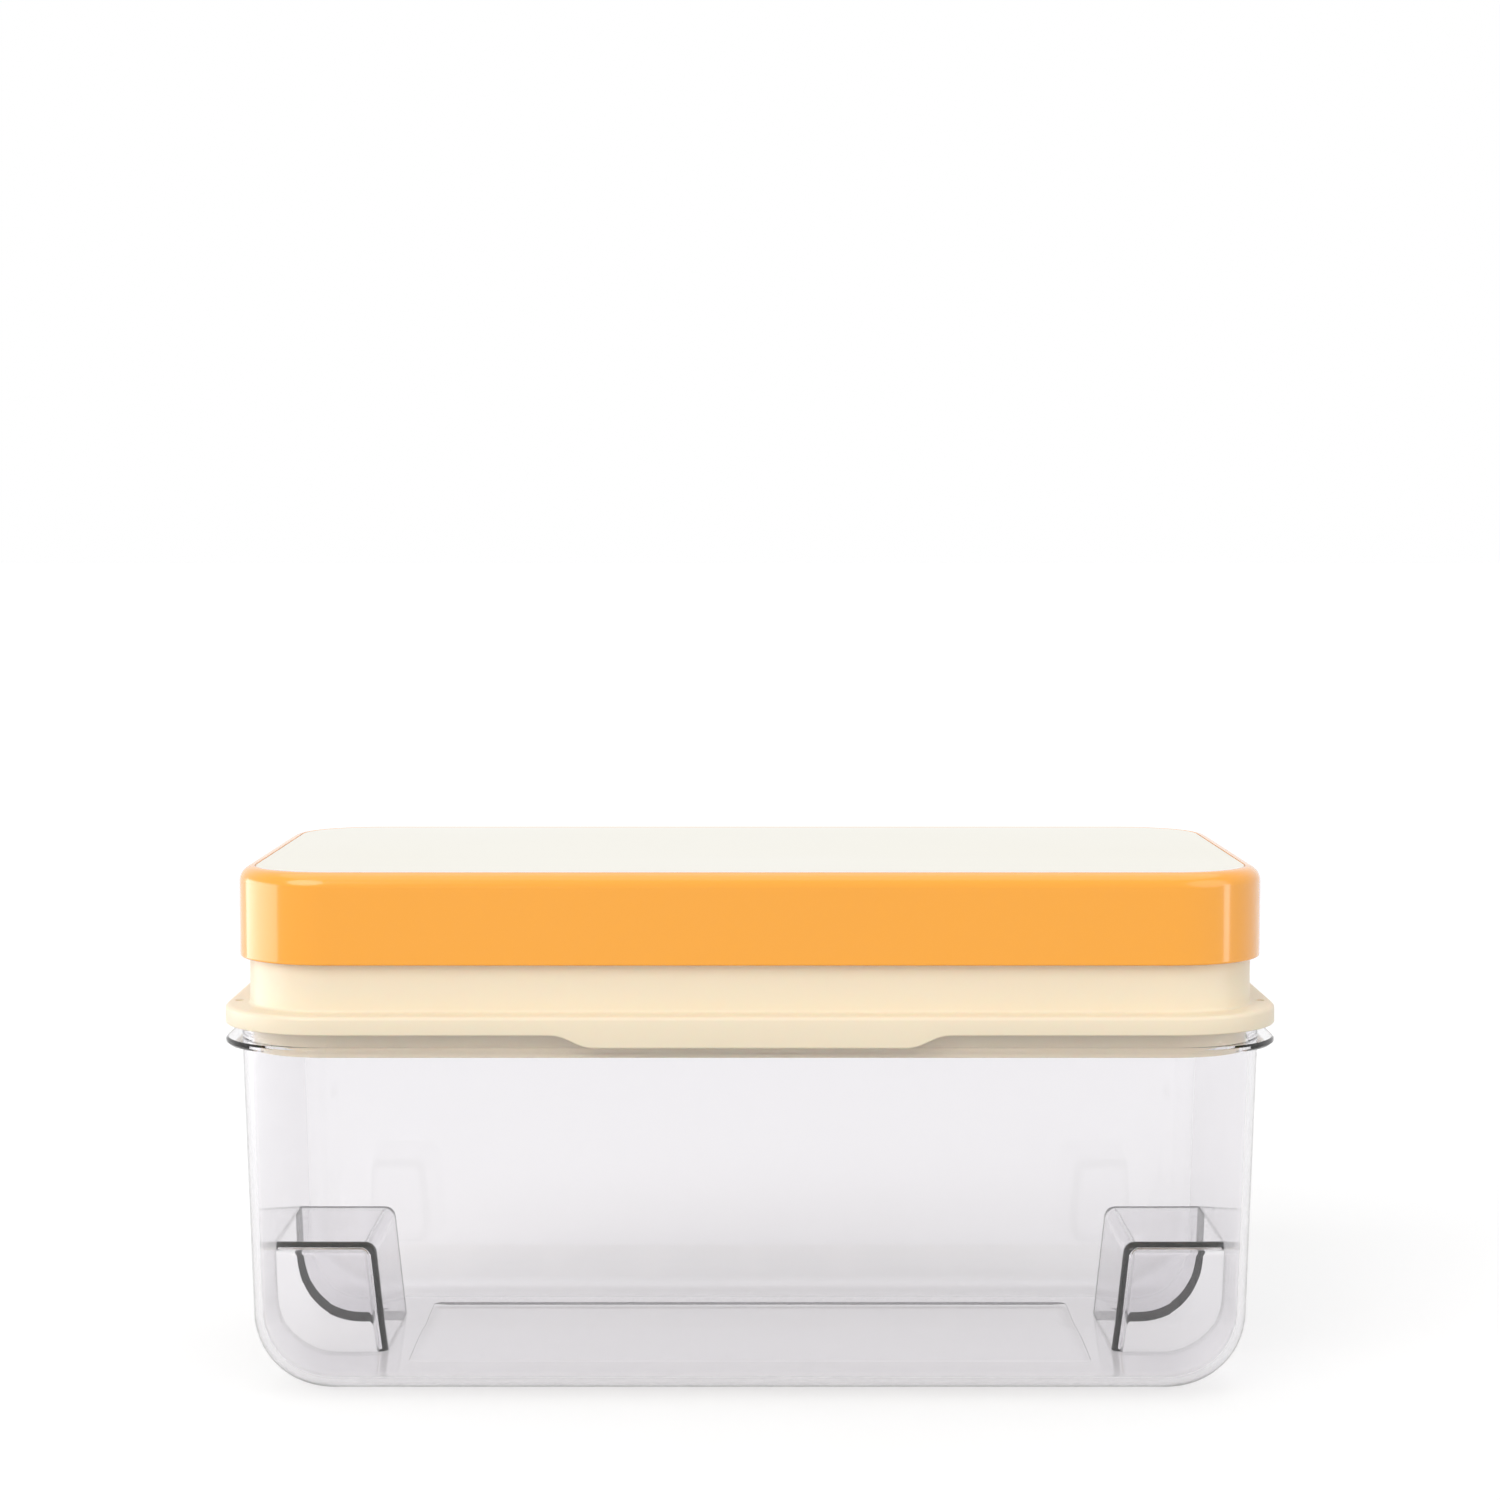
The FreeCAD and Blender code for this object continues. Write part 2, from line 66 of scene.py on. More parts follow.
# plan
LEDGE_REACH = 27 * MM
CORE_X, CORE_Y = FRAME_HIGH.x - LEDGE_REACH, FRAME_HIGH.y - LEDGE_REACH
COLUMN_LETTERS = "abcdefgh"
COLUMNS, ROWS = len(COLUMN_LETTERS), 4
FIRST_CUP = (CUP_LOW + CUP_HIGH) / 2
PITCH = -2 * FIRST_CUP.x / (COLUMNS - 1)
CELLS = {
    f"cell_cup_{letter}{row + 1}": (FIRST_CUP.x + column * PITCH, FIRST_CUP.y + row * PITCH)
    for row in range(ROWS)
    for column, letter in enumerate(COLUMN_LETTERS)
}

# bin
BIN_REACH = 23 * MM
BIN_WALL = 2 * MM
BIN_FLOOR = 2.2 * MM
BIN_DRAFT = math.radians(1.8)
BIN_FOOT = 18.6 * MM
RIM_BAND = 6.8 * MM
BEAD = 1.6 * MM
GRIP_HALF = 22 * MM
GRIP_TOP = 29 * MM
GRIP_FOOT = 93 * MM
GRIP_LEAN = math.tan(math.radians(6))
GRIP_ROUND, HOUSING_ROUND = 1.5 * MM, 2.5 * MM
FLOOR_PANEL_HALF_X, FLOOR_PANEL_HALF_Y = 85 * MM, 34 * MM
# the floor panel's dip, in mm: inset, corner radius and depth, from its middle up past the floor
FLOOR_PANEL = ((3.5, 0.6, 0.3), (0.08, 2.6, 0.06), (0, 2.7, 0), (0, 2.7, -2))

# tray
WALL_REACH, WALL_INSIDE = 21 * MM, 19 * MM
LEDGE = 1.6 * MM
SKIRT = 1.8 * MM
SKIRT_DROP, FLAP_DROP = 3.0 * MM, 6.0 * MM
FLAP_FLAT, FLAP_SLOPE = 75 * MM, 9.5 * MM
EAR_HOLE, EAR_INSET, EAR_SPREAD = 2.2 * MM, 3 * MM, 80 * MM
LEDGE_BOTTOM = FRAME_LOW.z + FLAP_DROP
# a vent ring in mm: radius, and height over the deck
VENT_RING = ((0, -0.1), (1.9, -0.1), (1.8, 0.25), (1.5, 0.4), (1.2, 0.25), (1.0, 0.02), (0, 0.02))

# cups, all in mm: half width, corner radius, and height over the deck or depth below the dome's top
CUP_FLANGE = (
    (12.8, 9.6, 0), (12.8, 9.6, 0.5), (12.4, 9.3, 0.9), (11.95, 9.9, 0.9), (11.95, 9.9, 0),
)
CUP_DOME = (
    (11.8, 9.85, 6.0), (11.5, 9.5, 5.6), (11.0, 9.0, 4.8), (10.3, 8.3, 3.4), (9.5, 7.5, 1.8),
    (8.9, 7.0, 0.85), (8.3, 6.6, 0.35), (7.6, 6.1, 0.08), (6.6, 5.6, 0.0),
)
CUP_LINER, CUP_LINER_CORNER = 11.7 * MM, 9.8 * MM
CUP_SKIN = 1.6 * MM

# plate
PLATE_THICK = 2 * MM
PIN_LENGTH = PLATE_HIGH.z - PLATE_THICK - PLATE_LOW.z
PIN_RADIUS, PIN_TIP_RADIUS = 4.2 * MM, 2.1 * MM
PIN_SHANK = 5.5 * MM
# the fillet at a pin's root in mm: how far outside the pin, and height over the plate's underside
PIN_ROOT = ((0, -0.8), (0.15, -0.3), (0.6, 0.02))
SINK_RADIUS, SINK_DEPTH = 3.4 * MM, 0.55 * MM

# lid
LID_SIDE, LID_TOP = 1.8 * MM, 2 * MM
LID_ROUND = 3.6 * MM


# ---------------------------------------------------------------- meshes

def link(name, mesh, body):
    """A new piece with a mesh, riding on a body."""
    piece = bpy.data.objects.new(name, mesh)
    bpy.context.scene.collection.objects.link(piece)
    if body:
        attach(piece, body)
    return piece


def finished(bm, name, smooth_under=35):
    """The bmesh as a mesh with outward faces, shaded smooth apart from its sharp edges."""
    bmesh.ops.recalc_face_normals(bm, faces=bm.faces)
    mesh = bpy.data.meshes.new(name)
    bm.to_mesh(mesh)
    bm.free()
    mesh.polygons.foreach_set("use_smooth", [True] * len(mesh.polygons))
    mesh.set_sharp_from_angle(angle=math.radians(smooth_under))
    return mesh


def rounded(half_x, half_y, radius, steps=14, sides=0):
    """Plan points of a rounded rectangle. sides is the number of extra points on each long side."""
    points = []
    signs = ((1, 1), (-1, 1), (-1, -1), (1, -1))
    for quarter, (sx, sy) in enumerate(signs):
        for n in range(steps + 1):
            angle = math.radians(90 * (quarter + n / steps))
            points.append((
                sx * (half_x - radius) + radius * math.cos(angle),
                sy * (half_y - radius) + radius * math.sin(angle),
            ))
        if sides and quarter in (0, 2):
            y = points[-1][1]
            start, end = points[-1][0], -points[-1][0]
            for n in range(1, sides + 1):
                points.append((start + (end - start) * n / (sides + 1), y))
    return points


def loft(bm, stations, closed=False, **plan):
    """Skins a stack of rounded rectangles, each (half_x, half_y, radius, z).

    A closed loft joins its last station to its first. An open one is capped at both ends.
    """
    rings = []
    for half_x, half_y, radius, z in stations:
        outline = rounded(half_x, half_y, radius, **plan)
        rings.append([bm.verts.new((x, y, z)) for x, y in outline])
    pairs = list(zip(rings, rings[1:])) + ([(rings[-1], rings[0])] if closed else [])
    count = len(rings[0])
    for low, high in pairs:
        for n in range(count):
            bm.faces.new((low[n], low[(n + 1) % count], high[(n + 1) % count], high[n]))
    if not closed:
        bm.faces.new(rings[0][::-1])
        bm.faces.new(rings[-1])
    return rings


def at(reach, z):
    """A station of a given reach."""
    return CORE_X + reach, CORE_Y + reach, reach, z


def bend(reach, z, radius, start, end, steps=6):
    """Stations along an arc in the wall's section. Its angles are in degrees: 0 outward, 90 up."""
    angles = [math.radians(start + (end - start) * n / steps) for n in range(steps + 1)]
    return [at(reach + radius * math.cos(a), z + radius * math.sin(a)) for a in angles]


def cut(target, cutters):
    """The target's mesh less each cutter. Target and cutters are used up."""
    for cutter in cutters:
        modifier = target.modifiers.new("cut", "BOOLEAN")
        modifier.operation, modifier.solver, modifier.object = "DIFFERENCE", "EXACT", cutter
    bpy.context.view_layer.update()
    graph = bpy.context.evaluated_depsgraph_get()
    mesh = bpy.data.meshes.new_from_object(target.evaluated_get(graph))
    for used in [target, *cutters]:
        bpy.data.objects.remove(used)
    bm = bmesh.new()
    bm.from_mesh(mesh)
    bpy.data.meshes.remove(mesh)
    shortest = 0.002 * MM
    bmesh.ops.remove_doubles(bm, verts=bm.verts, dist=shortest)
    bmesh.ops.dissolve_degenerate(bm, edges=bm.edges, dist=shortest)
    return bm


def form(bm):
    """A loose object for a boolean."""
    return link("form", finished(bm, "form"), None)


def solid(stations, **plan):
    """A loft as a loose object for a boolean."""
    bm = bmesh.new()
    loft(bm, stations, **plan)
    return form(bm)


def turned(bm, profile, centre, steps=24):
    """A solid of revolution about an upright axis. profile runs from the axis to the axis."""
    x, y = centre
    rings = []
    for radius, z in profile:
        if radius < NEAR:
            rings.append([bm.verts.new((x, y, z))])
            continue
        ring = []
        for n in range(steps):
            angle = 2 * math.pi * n / steps
            across, along = radius * math.cos(angle), radius * math.sin(angle)
            ring.append(bm.verts.new((x + across, y + along, z)))
        rings.append(ring)
    for low, high in zip(rings, rings[1:]):
        for n in range(steps):
            after = (n + 1) % steps
            if len(low) == 1:
                bm.faces.new((low[0], high[after], high[n]))
            elif len(high) == 1:
                bm.faces.new((low[n], low[after], high[0]))
            else:
                bm.faces.new((low[n], low[after], high[after], high[n]))


# ---------------------------------------------------------------- materials

def new_material(name):
    """A node material, with its tree and its main shader."""
    material = bpy.data.materials.new(name)
    material.use_nodes = True
    tree = material.node_tree
    return material, tree, tree.nodes["Principled BSDF"]


def noise(tree, scale, detail=3.0):
    """Noise in the object's own coordinates, its scale in features per metre."""
    coordinates = tree.nodes.new("ShaderNodeTexCoord")
    texture = tree.nodes.new("ShaderNodeTexNoise")
    texture.inputs["Scale"].default_value = scale
    texture.inputs["Detail"].default_value = detail
    tree.links.new(coordinates.outputs["Object"], texture.inputs["Vector"])
    return texture.outputs["Fac"]


def spread(tree, source, low, high):
    """Maps 0 to low and 1 to high. Noise mostly lies between 0.3 and 0.7, so well inside."""
    node = tree.nodes.new("ShaderNodeMapRange")
    node.inputs["To Min"].default_value, node.inputs["To Max"].default_value = low, high
    tree.links.new(source, node.inputs["Value"])
    return node.outputs["Result"]


def moulded_plastic(name, colour, roughness, grain, grain_scale, flow, **sockets):
    """Moulded plastic: faint flow marks in its colour, uneven gloss, and a grain or waviness.

    grain is the strength of the relief, and flow the share by which the colour varies.
    """
    flow_scale, gloss_scale = 14, 9
    glossiest, dullest = 0.6 * roughness, 1.45 * roughness
    material, tree, shader = new_material(name)
    mix = tree.nodes.new("ShaderNodeMix")
    mix.data_type = "RGBA"
    mix.inputs["A"].default_value = (*[c * (1 - flow) for c in colour], 1)
    mix.inputs["B"].default_value = (*[min(1, c * (1 + flow)) for c in colour], 1)
    tree.links.new(noise(tree, flow_scale), mix.inputs["Factor"])
    tree.links.new(mix.outputs["Result"], shader.inputs["Base Color"])
    gloss = spread(tree, noise(tree, gloss_scale, 1.0), glossiest, dullest)
    tree.links.new(gloss, shader.inputs["Roughness"])
    bump = tree.nodes.new("ShaderNodeBump")
    bump.inputs["Strength"].default_value = grain
    bump.inputs["Distance"].default_value = 0.05 * MM
    tree.links.new(noise(tree, grain_scale, 2.0), bump.inputs["Height"])
    tree.links.new(bump.outputs["Normal"], shader.inputs["Normal"])
    for socket, number in sockets.items():
        shader.inputs[socket.replace("_", " ")].default_value = number
    return material


def clear_plastic():
    """Clear polystyrene: it greys where light runs along a wall, and its shadow is light."""
    material, tree, shader = new_material("clear_plastic")
    shader.inputs["Base Color"].default_value = (0.955, 0.948, 0.957, 1)
    shader.inputs["Transmission Weight"].default_value = 1.0
    shader.inputs["IOR"].default_value = 1.45
    inside = tree.nodes.new("ShaderNodeVolumeAbsorption")
    inside.inputs["Color"].default_value = (0.46, 0.44, 0.49, 1)
    inside.inputs["Density"].default_value = 40
    tree.links.new(inside.outputs["Volume"], tree.nodes["Material Output"].inputs["Volume"])
    tree.links.new(spread(tree, noise(tree, 20, 1.0), 0.0, 0.02), shader.inputs["Roughness"])
    bump = tree.nodes.new("ShaderNodeBump")
    bump.inputs["Strength"].default_value = 0.02
    bump.inputs["Distance"].default_value = 0.4 * MM
    tree.links.new(noise(tree, 14, 0.5), bump.inputs["Height"])
    tree.links.new(bump.outputs["Normal"], shader.inputs["Normal"])
    path = tree.nodes.new("ShaderNodeLightPath")
    through = tree.nodes.new("ShaderNodeBsdfTransparent")
    through.inputs["Color"].default_value = (0.93, 0.93, 0.94, 1)
    mix = tree.nodes.new("ShaderNodeMixShader")
    tree.links.new(path.outputs["Is Shadow Ray"], mix.inputs["Fac"])
    tree.links.new(shader.outputs["BSDF"], mix.inputs[1])
    tree.links.new(through.outputs["BSDF"], mix.inputs[2])
    tree.links.new(mix.outputs["Shader"], tree.nodes["Material Output"].inputs["Surface"])
    return material


CLEAR = clear_plastic()
CREAM = moulded_plastic(
    "cream_plastic", (0.86, 0.75, 0.565), roughness=0.36, grain=0.02, grain_scale=1600, flow=0.03,
    Subsurface_Weight=0.15, Subsurface_Scale=2 * MM)
GLOSSY_CREAM = moulded_plastic(
    "glossy_cream_plastic", (0.87, 0.77, 0.59), roughness=0.2, grain=0.02, grain_scale=1600,
    flow=0.03, Subsurface_Weight=0.3, Subsurface_Scale=3 * MM)
SILICONE = moulded_plastic(
    "cream_silicone", (0.88, 0.79, 0.62), roughness=0.2, grain=0.02, grain_scale=1600, flow=0.03,
    Subsurface_Weight=0.25, Subsurface_Scale=3 * MM)
ORANGE = moulded_plastic(
    "orange_plastic", (0.95, 0.385, 0.02), roughness=0.22, grain=0.12, grain_scale=50, flow=0.015,
    Coat_Weight=0.6, Coat_Roughness=0.06)
WHITE = moulded_plastic(
    "white_plastic", (0.91, 0.89, 0.805), roughness=0.39, grain=0.02, grain_scale=40, flow=0.01)


def dressed(piece, material, slot_name, *nodes):
    """Gives a piece its material, and hides the CAD nodes that it stands for. slot_name is not
    used.
    """
    piece.data.materials.clear()
    piece.data.materials.append(material)
    if nodes:
        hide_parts(*nodes)


def evened(piece):
    """Shades each corner by its largest face, so that a wide flat face stays flat to its edge."""
    modifier = piece.modifiers.new("even_shading", "WEIGHTED_NORMAL")
    modifier.keep_sharp = True


# ---------------------------------------------------------------- the bin

def bin_stations(reach, floor, foot, top):
    """The bin's outside or its hollow, from the floor up to the top, with no rim."""
    band_foot = BIN_HIGH.z - RIM_BAND
    reach_at_foot = reach - (band_foot - floor - foot) * math.tan(BIN_DRAFT)
    stations = bend(reach_at_foot - foot, floor + foot, foot, -90, 0, steps=14)
    return stations + [at(reach, band_foot), at(reach, top)]


def grip_block(wall, edge):
    """The hollow of a hand grip, or with a wall its housing, at the low-X end.

    Its sides lean. edge rounds the edges of its inner and upper faces.
    """
    foot, top, half = GRIP_FOOT - wall, GRIP_TOP + wall, GRIP_HALF + wall
    below, beyond = 5 * MM, BIN_HIGH.x + 5 * MM
    bm = bmesh.new()
    corners = [(foot - below * GRIP_LEAN, -below), (foot + top * GRIP_LEAN, top),
               (beyond, top), (beyond, -below)]
    near = [bm.verts.new((-x, -half, z)) for x, z in corners]
    far = [bm.verts.new((-x, half, z)) for x, z in corners]
    bm.faces.new(near)
    bm.faces.new(far[::-1])
    for n in range(4):
        bm.faces.new((near[n], far[n], far[(n + 1) % 4], near[(n + 1) % 4]))
    inner = -foot - top * GRIP_LEAN
    shown = [
        e for e in bm.edges
        if max(v.co.z for v in e.verts) > top - NEAR and max(v.co.x for v in e.verts) > inner - NEAR
        and not all(v.co.x < -beyond + NEAR for v in e.verts)
    ]
    bmesh.ops.bevel(bm, geom=shown, offset=edge, segments=5, profile=0.5, affect="EDGES")
    return form(bm)


def mirrored(piece):
    """A copy of a form at the other end of the bin."""
    bm = bmesh.new()
    bm.from_mesh(piece.data)
    bmesh.ops.transform(bm, matrix=Matrix.Scale(-1, 4, (1, 0, 0)), verts=bm.verts)
    return form(bm)


def make_bin():
    """The clear bin, with its bead, the grips in their housings, and the panel in its floor."""
    top, band_foot = BIN_HIGH.z, BIN_HIGH.z - RIM_BAND
    edge = 0.5 * MM
    outside = bin_stations(BIN_REACH, 0, BIN_FOOT, top)[:-1]
    side_reach = BIN_HIGH.y - CORE_Y
    for inset, height in ((edge, 0), (0, edge), (0, BEAD - edge), (edge, BEAD)):
        half_x, half_y = BIN_HIGH.x - inset, BIN_HIGH.y - inset
        outside.append((half_x, half_y, side_reach - inset, band_foot + height))
    outside.append(at(BIN_REACH, band_foot + BEAD))
    outside += bend(BIN_REACH - edge, top - edge, edge, 0, 90, steps=4)
    shell = solid(outside)
    above = top + 5 * MM
    hollow = solid(bin_stations(BIN_REACH - BIN_WALL, BIN_FLOOR, BIN_FOOT - BIN_WALL, above))
    housing = grip_block(BIN_WALL, HOUSING_ROUND)
    hollow = form(cut(hollow, [mirrored(housing), housing]))
    dip = []
    for inset, corner, depth in FLOOR_PANEL:
        half_x, half_y = FLOOR_PANEL_HALF_X - inset * MM, FLOOR_PANEL_HALF_Y - inset * MM
        dip.append((half_x, half_y, corner * MM, BIN_FLOOR - depth * MM))
    grip = grip_block(0, GRIP_ROUND)
    bm = cut(shell, [hollow, solid(dip, steps=6), mirrored(grip), grip])
    piece = link("clear_bin", finished(bm, "clear_bin", smooth_under=24), "bin")
    dressed(piece, CLEAR, "clear_plastic", "storage_bin")
    evened(piece)


# ---------------------------------------------------------------- the tray

def flap_drop(x):
    """How far the flap hangs below the skirt at a place along the tray."""
    share = min(1, max(0, (FLAP_FLAT / 2 + FLAP_SLOPE - abs(x)) / FLAP_SLOPE))
    return (FLAP_DROP - SKIRT_DROP) * share * share * (3 - 2 * share)


def make_frame():
    """The wall, ledge and skirt as one closed section, with the flaps drawn down from it."""
    rim, edge, hollow, foot = 0.9 * MM, 1.1 * MM, 0.8 * MM, 0.4 * MM
    top = FRAME_HIGH.z
    ledge_top = LEDGE_BOTTOM + LEDGE
    skirt_foot = LEDGE_BOTTOM - SKIRT_DROP
    inner_skirt = LEDGE_REACH - SKIRT
    section = [at(WALL_INSIDE, LEDGE_BOTTOM), at(WALL_INSIDE, top - rim)]
    section += bend(WALL_INSIDE + rim, top - rim, rim, 180, 90, steps=5)[1:]
    section += bend(WALL_REACH - rim, top - rim, rim, 90, 0, steps=5)
    section += bend(WALL_REACH + hollow, ledge_top + hollow, hollow, 180, 270, steps=4)
    section += bend(LEDGE_REACH - edge, ledge_top - edge, edge, 90, 0, steps=6)
    section += bend(LEDGE_REACH - foot, skirt_foot + foot, foot, 0, -90, steps=3)
    section += [at(inner_skirt, skirt_foot), at(inner_skirt, LEDGE_BOTTOM)]
    bm = bmesh.new()
    loft(bm, section, closed=True, steps=16, sides=120)
    below_ledge, long_side = LEDGE_BOTTOM - 1 * MM, CORE_Y + inner_skirt - 0.1 * MM
    for vertex in bm.verts:
        if vertex.co.z < below_ledge and abs(vertex.co.y) > long_side:
            vertex.co.z -= flap_drop(vertex.co.x)
    holes = bmesh.new()
    bottom, above, radius = below_ledge, ledge_top + 2 * MM, EAR_HOLE / 2
    for sx in (-1, 1):
        for sy in (-1, 1):
            place = sx * (FRAME_HIGH.x - EAR_INSET), sy * EAR_SPREAD / 2
            profile = (0, bottom), (radius, bottom), (radius, above), (0, above)
            turned(holes, profile, place, steps=20)
    bm = cut(form(bm), [form(holes)])
    piece = link("tray_wall", finished(bm, "tray_wall"), "tray")
    dressed(piece, CREAM, "cream_plastic", "tray_frame")


def make_grid():
    """The grid keeps its CAD form with softened edges, and has a ring between each four cups."""
    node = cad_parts["cell_grid"]
    weld = node.modifiers.new("weld", "WELD")
    weld.merge_threshold = 0.001 * MM
    soft = node.modifiers.new("soft_edges", "BEVEL")
    soft.width, soft.segments, soft.limit_method = 0.3 * MM, 2, "ANGLE"
    node.data.materials.clear()
    node.data.materials.append(CREAM)
    rings = bmesh.new()
    profile = [(radius * MM, DECK + height * MM) for radius, height in VENT_RING]
    for column in range(COLUMNS - 1):
        for row in range(ROWS - 1):
            place = FIRST_CUP.x + (column + 0.5) * PITCH, FIRST_CUP.y + (row + 0.5) * PITCH
            turned(rings, profile, place, steps=20)
    piece = link("vent_rings", finished(rings, "vent_rings", smooth_under=60), "tray")
    dressed(piece, CREAM, "cream_plastic")


def make_cups():
    """The soft backs: a bedded flange round each cell, and a flat-topped dome over its liner."""
    steps = 10
    flange = [(half * MM, half * MM, corner * MM, DECK + height * MM)
              for half, corner, height in CUP_FLANGE]
    flanges = bmesh.new()
    for x, y in CELLS.values():
        rings = loft(flanges, flange, closed=True, steps=steps)
        bmesh.ops.translate(flanges, verts=[v for ring in rings for v in ring], vec=(x, y, 0))
    piece = link("cup_flanges", finished(flanges, "cup_flanges", smooth_under=60), "tray")
    dressed(piece, SILICONE, "cream_silicone")

    bottom, top = CUP_LOW.z, CUP_HIGH.z
    inside, inside_corner = CUP_LINER - CUP_SKIN, CUP_LINER_CORNER - CUP_SKIN
    roof = top - 3 * MM
    section = [(inside, inside, inside_corner, roof), (inside, inside, inside_corner, bottom),
               (CUP_LINER, CUP_LINER, CUP_LINER_CORNER, bottom),
               (CUP_LINER, CUP_LINER, CUP_LINER_CORNER, DECK - 0.2 * MM)]
    section += [(half * MM, half * MM, corner * MM, top - depth * MM)
                for half, corner, depth in CUP_DOME]
    for node, (x, y) in CELLS.items():
        bm = bmesh.new()
        loft(bm, section, steps=steps)
        bmesh.ops.translate(bm, verts=bm.verts, vec=(x, y, 0))
        piece = link(f"soft_{node}", finished(bm, node, smooth_under=50), "cups")
        dressed(piece, SILICONE, "cream_silicone", node)
        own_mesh(piece)


# ---------------------------------------------------------------- the plate and the lid

def pin_profile(under):
    """A bullet-shaped pin: round nose, swelling flank, straight shank, and a fillet at its root."""
    tip = PLATE_LOW.z
    profile = []
    nose_steps, nose_end = 4, 60
    for n in range(nose_steps + 1):
        angle = math.radians(90 - nose_end * n / nose_steps)
        across, up = PIN_TIP_RADIUS * math.cos(angle), PIN_TIP_RADIUS * (1 - math.sin(angle))
        profile.append((across, tip + up))
    start_radius, start_z = profile[-1]
    swell = PIN_RADIUS - 0.1 * MM - start_radius
    length = PIN_LENGTH - PIN_SHANK - (start_z - tip)
    flank_steps = 8
    for n in range(1, flank_steps + 1):
        share = n / flank_steps
        radius = start_radius + swell * math.sin(share * math.pi / 2)
        profile.append((radius, start_z + length * share))
    profile += [(PIN_RADIUS + beyond * MM, under + height * MM) for beyond, height in PIN_ROOT]
    return profile + [(0, profile[-1][1])]


def sink_profile(top):
    """A sink mark: the shallow round dip in the plate over a pin."""
    steps = 6
    bowl = [(0, top - SINK_DEPTH)]
    for n in range(1, steps + 1):
        share = n / steps
        bowl.append((SINK_RADIUS * share, top - SINK_DEPTH * (1 - share * share)))
    above = top + 1 * MM
    return bowl + [(SINK_RADIUS, above), (0, above)]


def make_plate():
    """The thin plate, its bullet pins, and the sink mark that the moulding left over each pin."""
    under, top = PLATE_HIGH.z - PLATE_THICK, PLATE_HIGH.z
    reach, edge = PLATE_HIGH.x - CORE_X, 0.7 * MM
    slab = solid(bend(reach - edge, under + edge, edge, -90, 0, steps=4)
                 + bend(reach - edge, top - edge, edge, 0, 90, steps=4))
    marks = bmesh.new()
    for place in CELLS.values():
        turned(marks, sink_profile(top), place, steps=24)
    bm = cut(slab, [form(marks)])
    for place in CELLS.values():
        turned(bm, pin_profile(under), place, steps=28)
    piece = link("pin_plate", finished(bm, "pin_plate", smooth_under=40), "plate")
    dressed(piece, GLOSSY_CREAM, "cream_plastic", "push_plate")
    evened(piece)


def make_lid():
    """The orange cap, with the pale panel set flush in its top."""
    foot, top = LID_LOW.z, LID_HIGH.z
    reach, recess = LID_HIGH.x - CORE_X, PANEL_HIGH.x - CORE_X
    inside = reach - LID_SIDE
    edge, groove = 0.5 * MM, 0.12 * MM
    section = [at(inside, top - LID_TOP), at(inside, foot + edge)]
    section += bend(inside + edge, foot + edge, edge, 180, 270, steps=4)[1:]
    section += bend(reach - edge, foot + edge, edge, -90, 0, steps=4)
    section += bend(reach - LID_ROUND, top - LID_ROUND, LID_ROUND, 0, 90, steps=10)
    section += bend(recess + groove * 2, top - groove, groove, 90, 180, steps=3)
    section += [at(recess + groove, PANEL_LOW.z)]
    bm = bmesh.new()
    loft(bm, section, steps=16)
    piece = link("lid_cap", finished(bm, "lid_cap"), "lid")
    dressed(piece, ORANGE, "orange_plastic", "press_lid")
    evened(piece)

    bm = bmesh.new()
    edge, clear = 0.35 * MM, 0.01 * MM
    loft(bm, [at(recess, PANEL_LOW.z + clear)]
         + bend(recess - edge, PANEL_HIGH.z - edge, edge, 0, 90, steps=4), steps=16)
    piece = link("lid_panel", finished(bm, "lid_panel"), "lid")
    dressed(piece, WHITE, "white_plastic", "lid_top_panel")
    evened(piece)


# ---------------------------------------------------------------- floor, lights, camera

def make_floor():
    """A pale floor that runs into the white background and keeps the object's shadow."""
    width, gap = 60, 0.02 * MM
    grey, glow_strength = 0.55, 0.5
    bpy.ops.mesh.primitive_plane_add(size=width, location=(0, 0, -gap))
    floor = bpy.context.object
    floor.name = "floor"
    material, tree, shader = new_material("floor")
    shader.inputs["Base Color"].default_value = (grey, grey, grey, 1)
    shader.inputs["Roughness"].default_value = 0.9
    shader.inputs["Specular IOR Level"].default_value = 0.1
    glow = tree.nodes.new("ShaderNodeEmission")
    strength = tree.nodes.new("ShaderNodeMath")
    strength.operation = "MULTIPLY"
    strength.inputs[1].default_value = glow_strength
    tree.links.new(seen_ray(tree), strength.inputs[0])
    tree.links.new(strength.outputs["Value"], glow.inputs["Strength"])
    add = tree.nodes.new("ShaderNodeAddShader")
    tree.links.new(shader.outputs["BSDF"], add.inputs[0])
    tree.links.new(glow.outputs["Emission"], add.inputs[1])
    tree.links.new(add.outputs["Shader"], tree.nodes["Material Output"].inputs["Surface"])
    floor.data.materials.append(material)


def seen_ray(tree):
    """1 for rays from the camera, in mirrors and through clear pieces."""
    path = tree.nodes.new("ShaderNodeLightPath")
    total = path.outputs["Is Camera Ray"]
    for ray in ("Is Glossy Ray", "Is Transmission Ray"):
        node = tree.nodes.new("ShaderNodeMath")
        node.operation = "MAXIMUM"
        tree.links.new(total, node.inputs[0])
        tree.links.new(path.outputs[ray], node.inputs[1])
        total = node.outputs["Value"]
    return total


